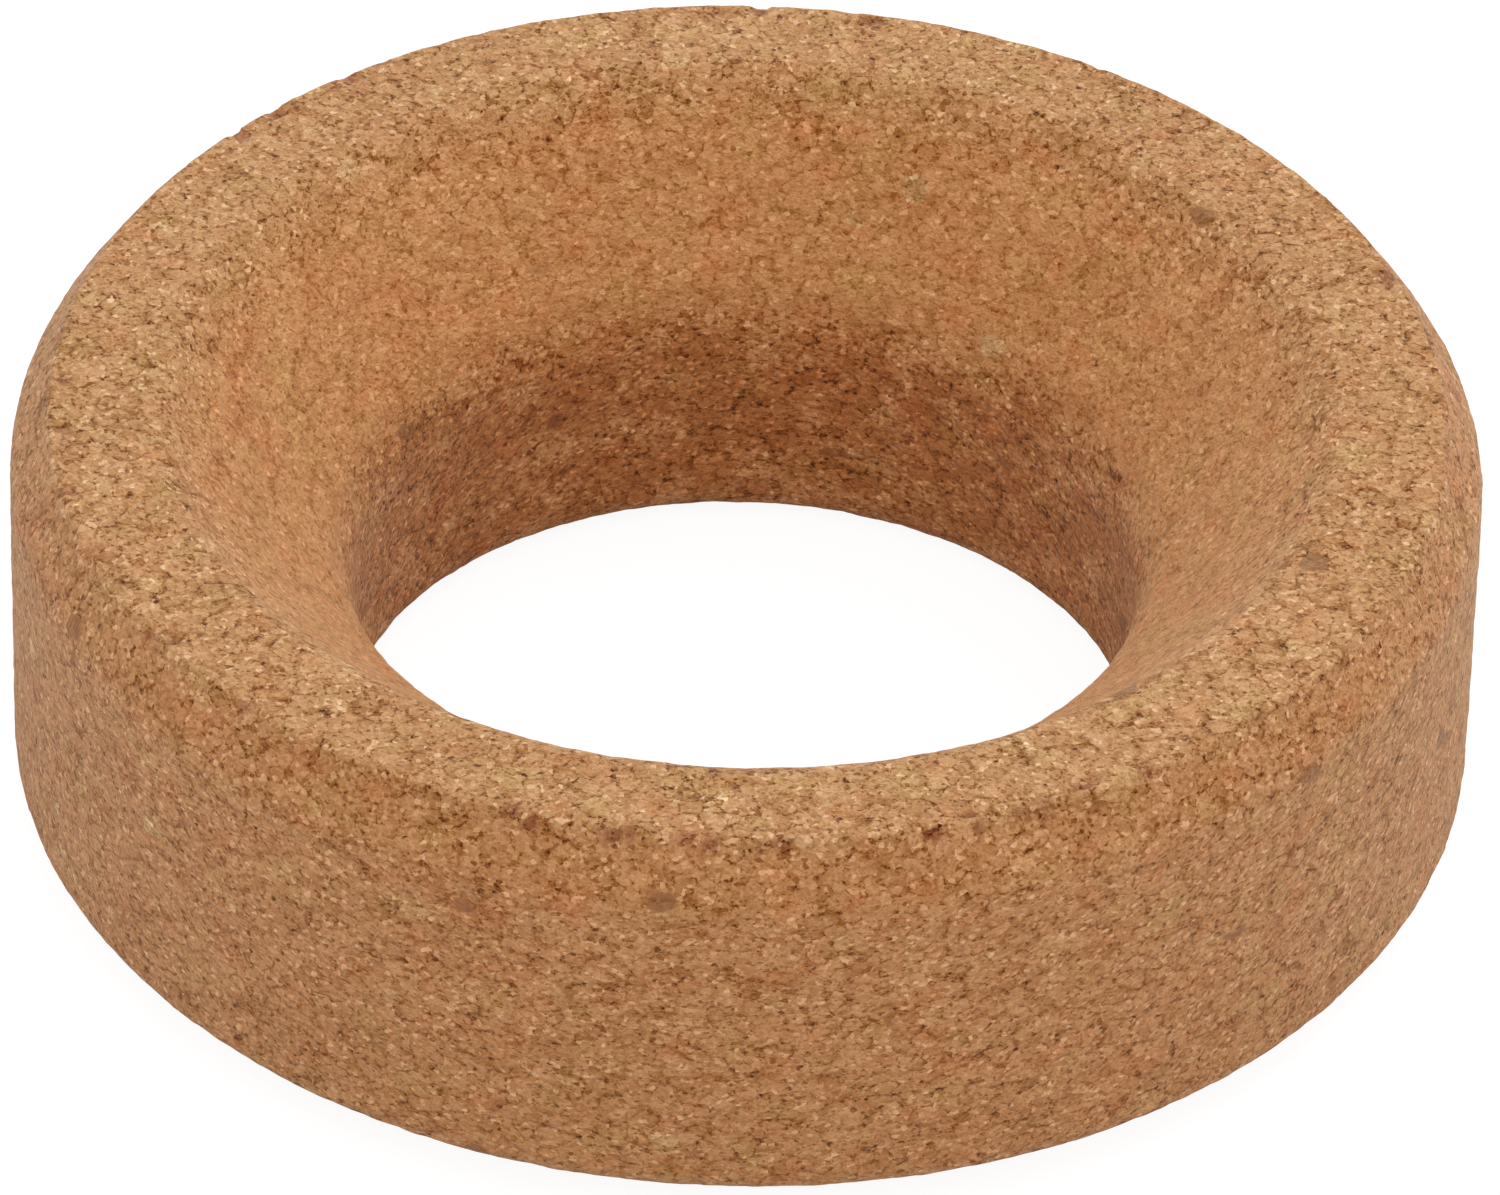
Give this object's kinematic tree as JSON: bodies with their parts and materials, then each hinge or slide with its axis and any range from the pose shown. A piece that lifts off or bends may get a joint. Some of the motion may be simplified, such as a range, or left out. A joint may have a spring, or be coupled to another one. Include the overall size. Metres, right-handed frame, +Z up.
{
  "type": "cork ring",
  "caption": "Low ring of agglomerated cork with a bowl-shaped mouth and a straight bore, to hold a round-bottomed flask upright.",
  "frame": {"origin": "centre of the underside", "axes": "+Z up along the ring's axis, towards the bowl's mouth; the ring is round, so X and Y are free"},
  "size_m": [0.11, 0.11, 0.033],
  "materials": {
    "cork": "bare agglomerated cork, matt, ground to a fine grain"
  },
  "bodies": {
    "root": {"cork_ring": "cork"}
  },
  "joints": []
}
